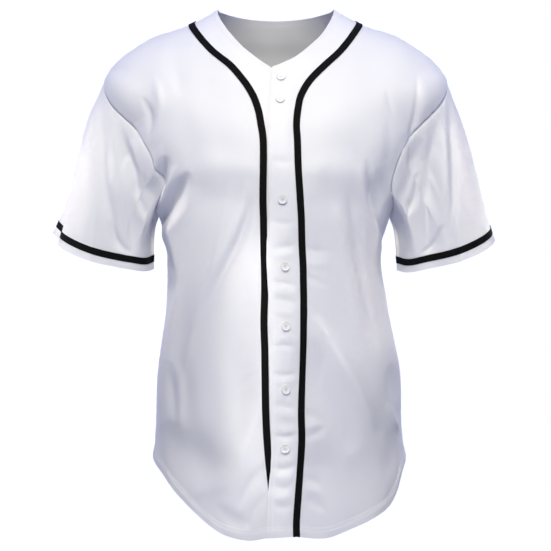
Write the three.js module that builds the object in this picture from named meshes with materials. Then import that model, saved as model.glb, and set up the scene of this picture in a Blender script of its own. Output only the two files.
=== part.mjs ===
// A short-sleeved button-front baseball jersey, kept in the hollow form it has when it is worn.
// Millimetres. +X is the wearer's left, the front faces -Y and +Z is up. The origin lies midway
// between the two high points of the neck, where the shoulders carry it.
import * as THREE from "three";

const CLOTH = 1.3; // thickness of the knit
const SEAM_PULL = 0.15; // each sewn edge stands back by this, so two pieces lie 0.3 apart
const BRAID = { half: 5, lift: 0.4, thick: 0.8 };
const STRIPE = { top: 20.5, bottom: 10.5, lift: 0.35, thick: 0.8 }; // distances above the sleeve hem
const LAP = { over: [3.2, 3.2, 2.4, 0], under: [-0.5, -0.4, -0.2, 0] }; // from lap edge to seam
const BUTTON = { radius: 6.5, rim: 1.1, thick: 2.4, dish: 0.7, lift: 0.5, edge: 0.6, lip: 0.5,
  sides: 20 };
const SIDE_SEAM_FOOT = -646;
const ARMPIT = -300;
const BRAID_END = 119; // how far out the braid meets the shoulder seam
const PANEL_COLUMNS = 12;
const BAND_COLUMNS = 3;
const ROWS = 14; // rows below the armpit, and as many above it
const LAP_ROWS = 8; // of the upper rows, those below the point of the neck
const NECK_COLUMNS = 8;
const HALVINGS = 40; // steps of a search by halves
const CURVE_SCALE = 150; // turns an angle round the body into about millimetres

// Cross sections of the body from below the hem to above the neck. The heights are at the side
// seam, at the centre front and at the centre back. half is the half width.
const BODY = rows("side front back half chest spine shift power", [
  [-820, -820, -820, 187, 128, 142, 6, 2.2],
  [-667, -667, -667, 183, 126, 142, 6, 2.2],
  [-610, -610, -610, 178, 124, 138, 5, 2.2],
  [-520, -520, -520, 174, 119, 130, 4, 2.25],
  [-420, -420, -420, 158, 115, 122, 1, 2.3],
  [-350, -352, -350, 153, 118, 122, -4, 2.35],
  [-300, -304, -300, 167, 124, 124, -3, 2.35],
  [-230, -236, -230, 192, 130, 124, -1, 2.35],
  [-170, -182, -168, 222, 127, 120, 0, 2.35],
  [-97, -140, -108, 243, 114, 108, 0, 2.3],
  [-45, -108, -62, 185, 104, 94, 0, 2.15],
  [-24, -85, -36, 128, 95, 80, 0, 2.07],
  [0, -60, -8, 83, 86, 68, 0, 2],
  [12, -38, 8, 66, 76, 62, 0, 2],
]);

// Sewn lines as seen from the front, x and z, each from its lower end up or from the middle out.
const LEFT_BRAID_LOW = [[29, -748], [29, -728], [31, -697], [34, -655], [36, -614], [35, -572],
  [37, -489], [37, -405], [36, -363], [34.5, -304]];
const LEFT_BRAID_HIGH = [[34.5, -304], [31, -239], [30, -197], [29, -176], [31, -155], [36, -133],
  [49, -111], [70, -89], [92, -67], [110, -43]];
const RIGHT_BRAID_LOW = [[0, -749], [-3, -711], [-6, -676], [-10, -634], [-13, -572], [-14, -489],
  [-15, -447], [-15, -363], [-16.3, -304]];
const RIGHT_BRAID_HIGH = [[-16.3, -304], [-17, -280], [-17, -197], [-20, -176], [-24, -155],
  [-32, -133], [-46, -111], [-65, -89], [-90, -67], [-110, -43]];
const LAP_EDGE_LOW = [[-12, -750], [-10, -683], [-7, -655], [-6, -625], [-8, -544], [-9, -447],
  [-9.5, -304]];
const LAP_EDGE_HIGH = [[-9.5, -304], [-10, -183], [-4.5, -93]];
const UNDER_EDGE_LOW = [[18, -748], [18, -544], [18, -304]];
const UNDER_EDGE_HIGH = [[18, -304], [17, -190], [16, -110]];
const LEFT_NECK = [[-4.5, -93], [28, -78], [48, -61], [65, -43], [77, -23]];
const RIGHT_NECK = [[16, -110], [-4.5, -94], [-31, -75], [-51, -57], [-68, -36]];
const LEFT_HEM = [[29, -748], [57, -751], [75, -750], [106, -739], [135, -727], [160, -711],
  [173, -688], [181, -664]];
const RIGHT_HEM = [[0, -749], [-12, -750], [-33, -754], [-49, -753], [-75, -746], [-93, -735],
  [-119, -714], [-143, -692], [-166, -663]];
const BACK_HEM = [[181, -662], [170, -688], [150, -712], [110, -742], [60, -764], [0, -770],
  [-60, -764], [-110, -742], [-145, -712], [-160, -688], [-170, -662]];
const FRONT_ARMHOLE = [[163, -264], [167, -236], [177, -208], [187, -193], [205, -165], [226, -137]];
const BACK_ARMHOLE = [[171, -264], [180, -236], [192, -205], [206, -172], [224, -138]];
const SHOULDER_POINT = -88; // height of the shoulder seam's outer end

// Cuff rings: centre, half widths across and front to back, tilt of the ring, the flare of the
// fold that stands out behind the right cuff, and how far the sleeve swells outwards on top.
const CUFFS = {
  left: { centre: [248, 0, -355], across: [0.951, 0, 0.309], half: 73, depth: 58, dip: 0.27,
    flare: 0, lift: 0, swell: 0.02 },
  right: { centre: [-247, 0, -355.5], across: [-0.96, 0, 0.28], half: 72, depth: 58, dip: 0.25,
    flare: 11, lift: 16, swell: 0.12 },
};
const SLEEVE_STEPS = [0, 0.1, 0.22, 0.36, 0.5, 0.64, 0.78, 0.9, 1];
const FLARE = { angle: -0.55, width: 0.45 }; // where the flare stands on its cuff ring
// How far a sleeve swells outwards where it leaves the armhole underneath, and the lengths of its
// two curve handles as shares of its own.
const SLEEVE_CURVE = { under: -0.25, start: 0.36, end: 0.33 };

// The largest folds of the cloth: three points of the crest, as seen from the front, the half
// width, and the height, which is below zero for a trough.
const FOLD_COLUMNS = "x0 z0 x1 z1 x2 z2 width height";
const FRONT_FOLDS = rows(FOLD_COLUMNS, [
  [-12, -235, -60, -350, -150, -520, 24, 4],
  [-50, -210, -95, -330, -160, -440, 22, -4],
  [-160, -232, -130, -250, -165, -300, 12, -5],
  [-18, -250, -60, -300, -75, -350, 16, 3],
  [-130, -400, -145, -440, -158, -480, 12, 4],
  [-20, -612, -50, -660, -84, -708, 20, 4],
  [-228, -110, -236, -180, -224, -280, 12, -5],
  [-212, -165, -190, -220, -176, -270, 12, -5],
  [193, -105, 184, -160, 180, -210, 9, -5],
  [156, -175, 152, -240, 152, -300, 11, 4],
  [124, -232, 135, -300, 146, -365, 14, -3.5],
  [40, -420, 85, -510, 138, -600, 24, 4],
  [96, -280, 125, -430, 165, -585, 16, -4],
  [232, -125, 226, -220, 220, -335, 12, -5],
  [256, -150, 258, -235, 258, -320, 11, -4],
  [212, -230, 198, -260, 184, -295, 11, -5],
]);
const BACK_FOLDS = rows(FOLD_COLUMNS, [
  [-206, -135, -188, -195, -178, -260, 14, -5],
  [208, -130, 194, -190, 182, -255, 14, -5],
  [-55, -190, -75, -320, -112, -450, 26, 4],
  [58, -240, 78, -370, 104, -500, 26, -4],
  [-150, -325, -115, -400, -45, -470, 20, -4],
  [142, -330, 108, -415, 50, -490, 20, 4],
  [-95, -540, -72, -640, -50, -735, 24, 5],
  [88, -560, 84, -650, 70, -735, 24, -4],
  [252, -145, 258, -235, 262, -320, 13, -4],
  [-250, -150, -256, -240, -258, -320, 13, -4],
]);
const FOLD_EDGE = 0.35; // folds fade out where the cloth turns away from the front or the back
const FOLD_END = 0.6; // how bluntly a fold ends

const BUTTONS = [[7.7, -106], [6.3, -138], [9.7, -279.5], [13, -372], [13.9, -455], [13.9, -542.5],
  [12.9, -625]];

const WHITE = new THREE.MeshStandardMaterial({ color: 0xf4f4f9, roughness: 0.85, metalness: 0 });
const BLACK = new THREE.MeshStandardMaterial({ color: 0x0b0b0f, roughness: 0.8, metalness: 0 });
const PEARL = new THREE.MeshStandardMaterial({ color: 0xf7f7fa, roughness: 0.35, metalness: 0 });

function rows(names, values) {
  const keys = names.split(" ");
  return values.map((v) => Object.fromEntries(keys.map((k, i) => [k, v[i]])));
}

const vec = (x, y, z) => new THREE.Vector3(x, y, z);
const mix = (a, b, t) => a + (b - a) * t;
const smooth = (t) => {
  const c = Math.min(Math.max(t, 0), 1);
  return c * c * (3 - 2 * c);
};

// The body surface: sections joined by a cubic through all rows.
const KNOTS = [0];
BODY.slice(1).forEach((b, i) => {
  const a = BODY[i];
  const step = Math.hypot(b.side - a.side, b.half - a.half)
    + Math.hypot(b.front - a.front, b.chest - a.chest);
  KNOTS.push(KNOTS[i] + step / 2);
});
const TOP = KNOTS[KNOTS.length - 1];
const NECK_LEVEL = KNOTS[KNOTS.length - 2];
const SLOPES = BODY.map((row, i) => {
  const back = BODY[Math.max(i - 1, 0)];
  const next = BODY[Math.min(i + 1, BODY.length - 1)];
  const before = i ? KNOTS[i] - KNOTS[i - 1] : 0;
  const after = i < BODY.length - 1 ? KNOTS[i + 1] - KNOTS[i] : 0;
  const slope = (k) => {
    const d0 = before ? (row[k] - back[k]) / before : 0;
    const d1 = after ? (next[k] - row[k]) / after : 0;
    return before && after ? (d0 * after + d1 * before) / (before + after) : d0 + d1;
  };
  return Object.fromEntries(Object.keys(row).map((k) => [k, slope(k)]));
});

function section(level) {
  const u = Math.min(Math.max(level, 0), TOP);
  let i = 0;
  while (i < KNOTS.length - 2 && KNOTS[i + 1] < u) i++;
  const h = KNOTS[i + 1] - KNOTS[i];
  const t = (u - KNOTS[i]) / h;
  const w = [2 * t ** 3 - 3 * t ** 2 + 1, (t ** 3 - 2 * t ** 2 + t) * h,
    3 * t ** 2 - 2 * t ** 3, (t ** 3 - t ** 2) * h];
  const at = (k) => w[0] * BODY[i][k] + w[1] * SLOPES[i][k] + w[2] * BODY[i + 1][k]
    + w[3] * SLOPES[i + 1][k];
  return Object.fromEntries(Object.keys(BODY[0]).map((k) => [k, at(k)]));
}

// A point at an angle round the body, 0 at the centre front and positive towards +X.
function smoothBody(angle, level) {
  const c = section(level);
  const s = Math.sin(angle);
  const k = Math.cos(angle);
  const depth = k > 0 ? c.chest : c.spine;
  const end = k > 0 ? c.front : c.back;
  const r = (Math.abs(s / c.half) ** c.power + Math.abs(k / depth) ** c.power) ** (-1 / c.power);
  const x = r * s;
  return vec(x + c.shift, -r * k, c.side + (end - c.side) * (1 - (x / c.half) ** 2));
}

function bodyNormal(angle, level) {
  const e = 0.002;
  const across = smoothBody(angle + e, level).sub(smoothBody(angle - e, level));
  const up = smoothBody(angle, level + 0.5).sub(smoothBody(angle, level - 0.5));
  return across.cross(up).normalize();
}

function bodyPoint({ angle, level }) {
  const p = smoothBody(angle, level);
  const n = bodyNormal(angle, level);
  return p.addScaledVector(n, foldHeight(p, n));
}

function foldHeight(p, n) {
  const sum = (folds) => folds.reduce((total, f) => total + foldAt(f, p.x, p.z), 0);
  const front = smooth((0.1 - n.y) / FOLD_EDGE);
  const back = smooth((n.y - 0.1) / FOLD_EDGE);
  return (front && front * sum(FRONT_FOLDS)) + (back && back * sum(BACK_FOLDS));
}

function foldAt(f, x, z) {
  const legs = [[f.x0, f.z0, f.x1, f.z1, 0], [f.x1, f.z1, f.x2, f.z2, 0.5]];
  const hits = legs.map(([ax, az, bx, bz, from]) => {
    const dx = bx - ax;
    const dz = bz - az;
    const t = Math.min(Math.max(((x - ax) * dx + (z - az) * dz) / (dx * dx + dz * dz), 0), 1);
    return { gap: Math.hypot(x - ax - t * dx, z - az - t * dz), along: from + t / 2 };
  });
  const hit = hits[0].gap < hits[1].gap ? hits[0] : hits[1];
  return f.height * Math.exp(-((hit.gap / f.width) ** 2)) * Math.sin(Math.PI * hit.along) ** FOLD_END;
}

// The level at which a line of constant angle reaches a height.
function levelAt(angle, z) {
  let low = 0;
  let high = TOP;
  for (let i = 0; i < HALVINGS; i++) {
    const mid = (low + high) / 2;
    if (smoothBody(angle, mid).z < z) low = mid;
    else high = mid;
  }
  return low;
}

// The angle and level of the surface point seen at x and z from the front, or from the back.
function locate([x, z], fromBack) {
  const turn = (a) => (fromBack ? Math.PI - a : a);
  let low = -Math.PI / 2;
  let high = Math.PI / 2;
  for (let i = 0; i < HALVINGS; i++) {
    const mid = (low + high) / 2;
    if (smoothBody(turn(mid), levelAt(turn(mid), z)).x < x) low = mid;
    else high = mid;
  }
  return { angle: turn(low), level: levelAt(turn(low), z) };
}

// Evenly spaced points of a sewn line on the body.
function line(points, count) {
  const knots = points.map((p) => vec(p.angle * CURVE_SCALE, p.level, 0));
  const curve = new THREE.CatmullRomCurve3(knots, false, "centripetal");
  return curve.getSpacedPoints(count).map((p) => ({ angle: p.x / CURVE_SCALE, level: p.y }));
}

const join = (...parts) => parts.reduce((all, part) => all.concat(part.slice(1)));
const reversed = (list) => [...list].reverse();

// A four-sided piece of the surface between its bottom, top, left and right lines. They are
// blended as on flat cloth: the distance from the centre line, then the level.
function patch(centre, bottom, top, left, right) {
  const nu = bottom.length - 1;
  const nv = left.length - 1;
  const flat = (p) => ({ reach: (p.angle - centre) * section(p.level).half, level: p.level });
  const [b, t, l, r] = [bottom, top, left, right].map((edge) => edge.map(flat));
  const blend = (key, i, j) => {
    const u = i / nu;
    const v = j / nv;
    const corners = mix(mix(b[0][key], b[nu][key], u), mix(t[0][key], t[nu][key], u), v);
    return mix(b[i][key], t[i][key], v) + mix(l[j][key], r[j][key], u) - corners;
  };
  return left.map((_, j) => bottom.map((__, i) => {
    const level = blend("level", i, j);
    return { angle: centre + blend("reach", i, j) / section(level).half, level };
  }));
}

// side is 1 on the wearer's left and -1 on the right.
const sideAngle = (side) => (side * Math.PI) / 2;
const onSide = (side, z) => ({ angle: sideAngle(side), level: levelAt(sideAngle(side), z) });

function shoulderLine(side) {
  const angle = sideAngle(side);
  let braid = NECK_LEVEL;
  while (Math.abs(smoothBody(angle, braid).x) < BRAID_END) braid -= 0.5;
  const outer = levelAt(angle, SHOULDER_POINT);
  const run = (a, b, n) => Array.from({ length: n + 1 }, (_, i) => (
    { angle, level: mix(a, b, i / n) }));
  return { band: run(NECK_LEVEL, braid, BAND_COLUMNS), panel: run(braid, outer, PANEL_COLUMNS) };
}

function sideLine(side) {
  return line([onSide(side, SIDE_SEAM_FOOT), onSide(side, -480), onSide(side, ARMPIT)], ROWS);
}

function armhole(side, table, fromBack) {
  const inner = table.map(([x, z]) => locate([side * x, z], fromBack));
  const wrap = (p) => (fromBack && side < 0 && p.angle < 0 ? { ...p, angle: p.angle + 2 * Math.PI } : p);
  return line([onSide(side, ARMPIT), ...inner, onSide(side, SHOULDER_POINT)].map(wrap), ROWS);
}

const find = (table, fromBack = false) => table.map((p) => locate(p, fromBack));

function frontLines(side) {
  const left = side > 0;
  const shoulder = shoulderLine(side);
  const low = find(left ? LEFT_BRAID_LOW : RIGHT_BRAID_LOW);
  const high = find(left ? LEFT_BRAID_HIGH : RIGHT_BRAID_HIGH);
  const seam = join(line(low, ROWS), line([...high, shoulder.panel[0]], ROWS));
  const edgeLow = line(find(left ? LAP_EDGE_LOW : UNDER_EDGE_LOW), ROWS);
  const edgeHigh = line(find(left ? LAP_EDGE_HIGH : UNDER_EDGE_HIGH), LAP_ROWS);
  const neck = line([...find(left ? LEFT_NECK : RIGHT_NECK), shoulder.band[0]], ROWS - LAP_ROWS);
  const edge = join(edgeLow, edgeHigh, neck);
  const outside = join(sideLine(side), armhole(side, FRONT_ARMHOLE, false));
  const hem = line([...find(left ? LEFT_HEM : RIGHT_HEM), outside[0]], PANEL_COLUMNS);
  const bandHem = line([edge[0], seam[0]], BAND_COLUMNS);
  return { seam, edge, outside, hem, bandHem, shoulder };
}

// A grid of outer points becomes a sheet: cells are named by row and column.
const place = (grid) => grid.map((row) => row.map(bodyPoint));
const at = (grid, j, i, ring) => (ring ? grid[j][(i + grid[j].length) % grid[j].length] : grid[j][i]);

function faceNormals(grid, ring, flip) {
  const normals = grid.map((row) => row.map(() => vec(0, 0, 0)));
  const across = ring ? grid[0].length : grid[0].length - 1;
  for (let j = 0; j < grid.length - 1; j++) {
    for (let i = 0; i < across; i++) {
      const cell = [[j, i], [j, i + 1], [j + 1, i + 1], [j + 1, i]];
      const [a, b, c, d] = cell.map(([r, k]) => at(grid, r, k, ring));
      const n = c.clone().sub(a).cross(d.clone().sub(b)).multiplyScalar(flip ? -1 : 1);
      cell.forEach(([r, k]) => at(normals, r, k, ring).add(n));
    }
  }
  return normals;
}

// Pieces that meet in a seam share one normal there, so their walls meet in a mitre.
function weld(pieces) {
  const border = [];
  for (const piece of pieces) {
    piece.normals = faceNormals(piece.grid, piece.ring, piece.flip);
    piece.normals.flat().forEach((n) => n.normalize());
    piece.own = piece.normals.map((row) => row.map((n) => n.clone()));
    piece.grid.forEach((row, j) => row.forEach((p, i) => {
      const inside = j > 0 && j < piece.grid.length - 1 && (piece.ring || (i > 0 && i < row.length - 1));
      if (!inside) border.push({ p, n: piece.normals[j][i] });
    }));
  }
  const shared = border.map((a) => border.filter((b) => a.p.distanceToSquared(b.p) < 1e-4)
    .reduce((sum, b) => sum.add(b.n), vec(0, 0, 0)));
  border.forEach((b, i) => b.n.copy(shared[i]));
  border.forEach((b) => b.n.normalize());
}

// The outer points of a piece with its sewn edges drawn back from the mitre planes of the seams.
function drawnBack({ grid, normals, own, ring }) {
  const lastRow = grid.length - 1;
  const lastColumn = grid[0].length - 1;
  const within = (k, last) => Math.min(Math.max(k, 0), last);
  const step = (before, after, j, i, inside) => {
    const away = after.clone().sub(before).cross(normals[j][i]).normalize();
    const home = inside.clone().sub(grid[j][i]).normalize().sub(own[j][i]);
    return away.multiplyScalar(away.dot(home) < 0 ? -SEAM_PULL : SEAM_PULL);
  };
  return grid.map((row, j) => row.map((p, i) => {
    const moved = p.clone();
    const inRow = (k) => (ring ? at(grid, j, k, true) : row[within(k, lastColumn)]);
    const inColumn = (k) => grid[within(k, lastRow)][i];
    if (j === 0 || j === lastRow) {
      moved.add(step(inRow(i - 1), inRow(i + 1), j, i, inColumn(j ? j - 1 : 1)));
    }
    if (!ring && (i === 0 || i === lastColumn)) {
      moved.add(step(inColumn(j - 1), inColumn(j + 1), j, i, row[i ? i - 1 : 1]));
    }
    return moved;
  }));
}

// A closed body between an outer and an inner grid of the same size, each cell cut along its
// shorter diagonal.
function sheet(outer, inner, ring, flip) {
  const nj = outer.length;
  const ni = outer[0].length;
  const points = [...outer.flat(), ...inner.flat()];
  const out = (j, i) => j * ni + (i % ni);
  const inn = (j, i) => nj * ni + out(j, i);
  const index = [];
  const quad = (a, b, c, d) => {
    const short = points[a].distanceTo(points[c]) <= points[b].distanceTo(points[d]) + 1e-3;
    const halves = short ? [a, b, c, a, c, d] : [a, b, d, b, c, d];
    index.push(...(flip ? halves.reverse() : halves));
  };
  const across = ring ? ni : ni - 1;
  for (let j = 0; j < nj - 1; j++) {
    for (let i = 0; i < across; i++) {
      quad(out(j, i), out(j, i + 1), out(j + 1, i + 1), out(j + 1, i));
      quad(inn(j, i), inn(j + 1, i), inn(j + 1, i + 1), inn(j, i + 1));
    }
    if (!ring) {
      quad(out(j, 0), out(j + 1, 0), inn(j + 1, 0), inn(j, 0));
      quad(out(j, ni - 1), inn(j, ni - 1), inn(j + 1, ni - 1), out(j + 1, ni - 1));
    }
  }
  for (let i = 0; i < across; i++) {
    quad(out(0, i), inn(0, i), inn(0, i + 1), out(0, i + 1));
    quad(out(nj - 1, i), out(nj - 1, i + 1), inn(nj - 1, i + 1), inn(nj - 1, i));
  }
  const geometry = new THREE.BufferGeometry();
  const numbers = points.flatMap((p) => [p.x, p.y, p.z]);
  geometry.setAttribute("position", new THREE.Float32BufferAttribute(numbers, 3));
  geometry.setIndex(index);
  geometry.computeVertexNormals();
  return geometry;
}

const raised = (grid, normals, height) => grid.map((row, j) => row.map((p, i) => (
  p.clone().addScaledVector(normals[j][i], height))));

function clothMesh(piece) {
  const inner = raised(drawnBack(piece), piece.normals, -CLOTH);
  const geometry = sheet(drawnBack(piece), inner, piece.ring, piece.flip);
  return named(piece.name, geometry, WHITE);
}

function named(name, geometry, material) {
  const mesh = new THREE.Mesh(geometry, material);
  mesh.name = name;
  return mesh;
}

// The lap: the left band lies over the right one, and both sink back to their seams and up the neck.
function lapBand(piece, heights) {
  const neckRow = ROWS + LAP_ROWS;
  const last = piece.grid.length - 1;
  piece.grid = piece.grid.map((row, j) => row.map((p, i) => {
    const fade = 1 - smooth((j - neckRow) / (last - neckRow - 2));
    return p.clone().addScaledVector(piece.normals[j][i], heights[i] * fade);
  }));
}

// Sleeve: a cubic from the armhole to the cuff ring at each place round it.
function sleeveGrid(side, hole, cuff) {
  const centre = vec(...cuff.centre);
  const across = vec(...cuff.across);
  const forward = vec(0, -Math.sqrt(1 - cuff.dip ** 2), -cuff.dip);
  const count = hole.length;
  const columns = hole.map((a, k) => {
    const angle = Math.PI * (1 - (2 * k) / count); // pi at the armpit, 0 at the shoulder point
    const behind = Math.exp(-(((angle - FLARE.angle) / FLARE.width) ** 2));
    const spoke = across.clone().multiplyScalar(cuff.half * Math.cos(angle) + cuff.flare * behind)
      .addScaledVector(forward, cuff.depth * Math.sin(angle));
    const h = centre.clone().add(spoke);
    h.z += cuff.lift * behind;
    const run = h.clone().sub(a);
    const bulge = mix(SLEEVE_CURVE.under, cuff.swell, smooth((Math.cos(angle) + 0.9) / 1.5));
    const leave = run.clone().normalize().addScaledVector(spoke.clone().normalize(), bulge).normalize();
    const length = run.length();
    const b = a.clone().addScaledVector(leave, length * SLEEVE_CURVE.start);
    const c = h.clone().addScaledVector(run.clone().normalize(), -length * SLEEVE_CURVE.end);
    return { curve: new THREE.CubicBezierCurve3(a, b, c, h), length };
  });
  const steps = ({ length }) => [...SLEEVE_STEPS.map((s) => s * (1 - STRIPE.top / length)),
    1 - STRIPE.bottom / length, 1];
  const grid = steps(columns[0]).map((_, j) => columns.map((c) => c.curve.getPoint(steps(c)[j])));
  const normals = faceNormals(grid, true, side > 0);
  return grid.map((row, j) => row.map((p, i) => {
    const t = steps(columns[i])[j];
    const own = 1 - (1 - t) ** 3 - 3 * t * (1 - t) ** 2;
    const n = normals[j][i].clone().normalize();
    return p.clone().addScaledVector(n, foldHeight(p, n) * own);
  }));
}

// Braid over the seam between band and panel, following both.
function braidMesh(name, band, panel, seamColumn, panelColumn, flip) {
  const beside = (grid, j, from, to) => {
    const p = grid[j][from];
    return p.clone().add(grid[j][to].clone().sub(p).setLength(BRAID.half));
  };
  const rowsOf = band.grid.map((row, j) => [
    beside(panel.grid, j, panelColumn, panelColumn + (panelColumn ? -1 : 1)),
    row[seamColumn].clone(),
    beside(band.grid, j, seamColumn, seamColumn + (seamColumn ? -1 : 1)),
  ]);
  const grid = flip ? rowsOf : rowsOf.map(reversed);
  const normals = grid.map((row, j) => row.map(() => band.normals[j][seamColumn]));
  const piece = { grid, normals, own: normals, ring: false };
  const low = raised(drawnBack(piece), normals, BRAID.lift);
  const high = raised(drawnBack(piece), normals, BRAID.lift + BRAID.thick);
  return named(name, sheet(high, low, false, false), BLACK);
}

// Stripe round a sleeve between the two rows above its hem row.
function stripeMesh(name, sleeve) {
  const pair = [sleeve.grid.length - 3, sleeve.grid.length - 2];
  const grid = pair.map((j) => sleeve.grid[j]);
  const normals = pair.map((j) => sleeve.normals[j]);
  const high = raised(grid, normals, STRIPE.lift + STRIPE.thick);
  return named(name, sheet(high, raised(grid, normals, STRIPE.lift), true, sleeve.flip), BLACK);
}

// Button: a round disc with a raised rim and a dished middle.
function buttonGeometry() {
  const { radius, rim, thick, dish, edge, lip, sides } = BUTTON;
  const profile = [[0, 0], [radius - edge, 0], [radius, edge], [radius, thick - lip],
    [radius - rim / 2, thick], [radius - rim - lip, thick - dish], [0, thick - dish]];
  const lathe = new THREE.LatheGeometry(profile.map(([x, y]) => new THREE.Vector2(x, y)), sides);
  return lathe.rotateX(Math.PI / 2);
}

// The place on a grid seen at x and z from the front, with the normal of the cell there.
function onGrid(grid, x, z) {
  for (let j = 0; j < grid.length - 1; j++) {
    for (let i = 0; i < grid[j].length - 1; i++) {
      const [a, b, c, d] = [grid[j][i], grid[j][i + 1], grid[j + 1][i + 1], grid[j + 1][i]];
      for (const [p, q, r] of [[a, b, c], [a, c, d]]) {
        const area = (q.x - p.x) * (r.z - p.z) - (q.z - p.z) * (r.x - p.x);
        const s = ((x - p.x) * (r.z - p.z) - (z - p.z) * (r.x - p.x)) / area;
        const t = ((q.x - p.x) * (z - p.z) - (q.z - p.z) * (x - p.x)) / area;
        if (s >= 0 && t >= 0 && s + t <= 1) {
          const n = c.clone().sub(a).cross(d.clone().sub(b)).normalize();
          return { p: vec(x, mix(p.y, q.y, s) + t * (r.y - p.y), z), n };
        }
      }
    }
  }
  throw new Error(`no cloth at ${x}, ${z}`);
}

function buttonMesh(name, band, [x, z]) {
  const { p, n } = onGrid(band.grid, x, z);
  const mesh = named(name, buttonGeometry(), PEARL);
  mesh.position.copy(p).addScaledVector(n, BUTTON.lift);
  mesh.quaternion.setFromUnitVectors(vec(0, 0, 1), n);
  return mesh;
}

const L = frontLines(1);
const R = frontLines(-1);
const backHoles = { left: armhole(1, BACK_ARMHOLE, true), right: armhole(-1, BACK_ARMHOLE, true) };
const turned = (list) => list.map((p) => ({ ...p, angle: p.angle < 0 ? p.angle + 2 * Math.PI : p.angle }));

const neckBack = Array.from({ length: NECK_COLUMNS + 1 }, (_, i) => (
  { angle: mix(Math.PI / 2, 1.5 * Math.PI, i / NECK_COLUMNS), level: NECK_LEVEL }));
const backTop = join(reversed(join(L.shoulder.band, L.shoulder.panel)), neckBack,
  turned(join(R.shoulder.band, R.shoulder.panel)));
const backBottom = line([L.outside[0], ...find(BACK_HEM, true), turned(R.outside)[0]], backTop.length - 1);
const backLeft = join(L.outside.slice(0, ROWS + 1), backHoles.left);
const backRight = join(turned(R.outside).slice(0, ROWS + 1), turned(backHoles.right));

const panels = {
  back: { name: "back_panel", grid: place(patch(Math.PI, backBottom, backTop, backLeft, backRight)) },
  left: { name: "left_front_panel", grid: place(patch(0, L.hem, L.shoulder.panel, L.seam, L.outside)) },
  right: { name: "right_front_panel",
    grid: place(patch(0, reversed(R.hem), reversed(R.shoulder.panel), R.outside, R.seam)) },
};
const bands = {
  left: { name: "left_front_band", grid: place(patch(0, L.bandHem, L.shoulder.band, L.edge, L.seam)) },
  right: { name: "right_front_band",
    grid: place(patch(0, reversed(R.bandHem), reversed(R.shoulder.band), R.seam, R.edge)) },
};
const holeOf = (front, behind) => [...front.slice(ROWS).map(bodyPoint),
  ...reversed(behind).slice(1, -1).map(bodyPoint)];
const sleeves = {
  left: { name: "left_sleeve", ring: true, flip: true,
    grid: sleeveGrid(1, holeOf(L.outside, backHoles.left), CUFFS.left) },
  right: { name: "right_sleeve", ring: true, flip: false,
    grid: sleeveGrid(-1, holeOf(R.outside, backHoles.right), CUFFS.right) },
};

const cloth = [...Object.values(panels), ...Object.values(bands), ...Object.values(sleeves)];
weld(cloth);
lapBand(bands.left, LAP.over);
lapBand(bands.right, reversed(LAP.under));

const jersey = new THREE.Group();
jersey.name = "baseball_jersey";
cloth.forEach((piece) => jersey.add(clothMesh(piece)));
jersey.add(
  braidMesh("left_front_braid", bands.left, panels.left, BAND_COLUMNS, 0, false),
  braidMesh("right_front_braid", bands.right, panels.right, 0, PANEL_COLUMNS, true),
  stripeMesh("left_sleeve_stripe", sleeves.left),
  stripeMesh("right_sleeve_stripe", sleeves.right),
  ...BUTTONS.map((spot, i) => buttonMesh(`button_${i + 1}`, bands.left, spot)),
);

export default jersey;
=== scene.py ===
"""A short-sleeved button-front baseball jersey, kept in the hollow form it has when it is worn.

Sizes and places are in millimetres and become metres where a mesh is made. +X is the wearer's
left, the front faces -Y and +Z is up. The origin lies midway between the high points of the neck.
"""
import math

import bpy
import numpy as np
from mathutils import Matrix, Vector


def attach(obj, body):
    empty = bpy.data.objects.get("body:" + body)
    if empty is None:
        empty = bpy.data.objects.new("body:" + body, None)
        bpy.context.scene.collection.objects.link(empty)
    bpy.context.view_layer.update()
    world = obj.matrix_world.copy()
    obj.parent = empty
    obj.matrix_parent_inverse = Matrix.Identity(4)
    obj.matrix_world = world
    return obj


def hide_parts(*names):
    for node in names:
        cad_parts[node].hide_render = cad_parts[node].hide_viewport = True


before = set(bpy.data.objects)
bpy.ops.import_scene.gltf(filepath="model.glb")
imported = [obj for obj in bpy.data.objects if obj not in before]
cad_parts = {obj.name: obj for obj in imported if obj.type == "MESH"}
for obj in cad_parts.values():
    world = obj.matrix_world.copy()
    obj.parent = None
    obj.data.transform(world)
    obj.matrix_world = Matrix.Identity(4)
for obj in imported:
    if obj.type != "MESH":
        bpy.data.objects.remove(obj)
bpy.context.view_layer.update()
bpy.ops.object.select_all(action="DESELECT")

MM = 0.001
CLOTH = 1.3  # thickness of the knit
SEAM_PULL = 0.15  # each sewn edge stands back by this
BRAID_HALF, BRAID_LIFT, BRAID_THICK = 5, 0.4, 0.8
STRIPE_TOP, STRIPE_BOTTOM = 20.5, 10.5  # distances above the sleeve hem
LAP_OVER, LAP_UNDER = (3.2, 3.2, 2.4, 0), (-0.5, -0.4, -0.2, 0)  # from lap edge to seam
SIDE_SEAM_FOOT = -646
ARMPIT = -300
BRAID_END = 119  # how far out the braid meets the shoulder seam
SHOULDER_POINT = -88  # height of the shoulder seam's outer end
LAP_SHARE = 8 / 14  # share of the upper rows that lies below the point of the neck
CURVE_SCALE = 150  # turns an angle round the body into about millimetres
HALVINGS, CREST_POINTS = 36, 14  # steps of a search by halves, and points along a fold
PANEL_PART, BAND_PART, NECK_PART = 12, 3, 8  # parts of the back's width at the top
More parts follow.
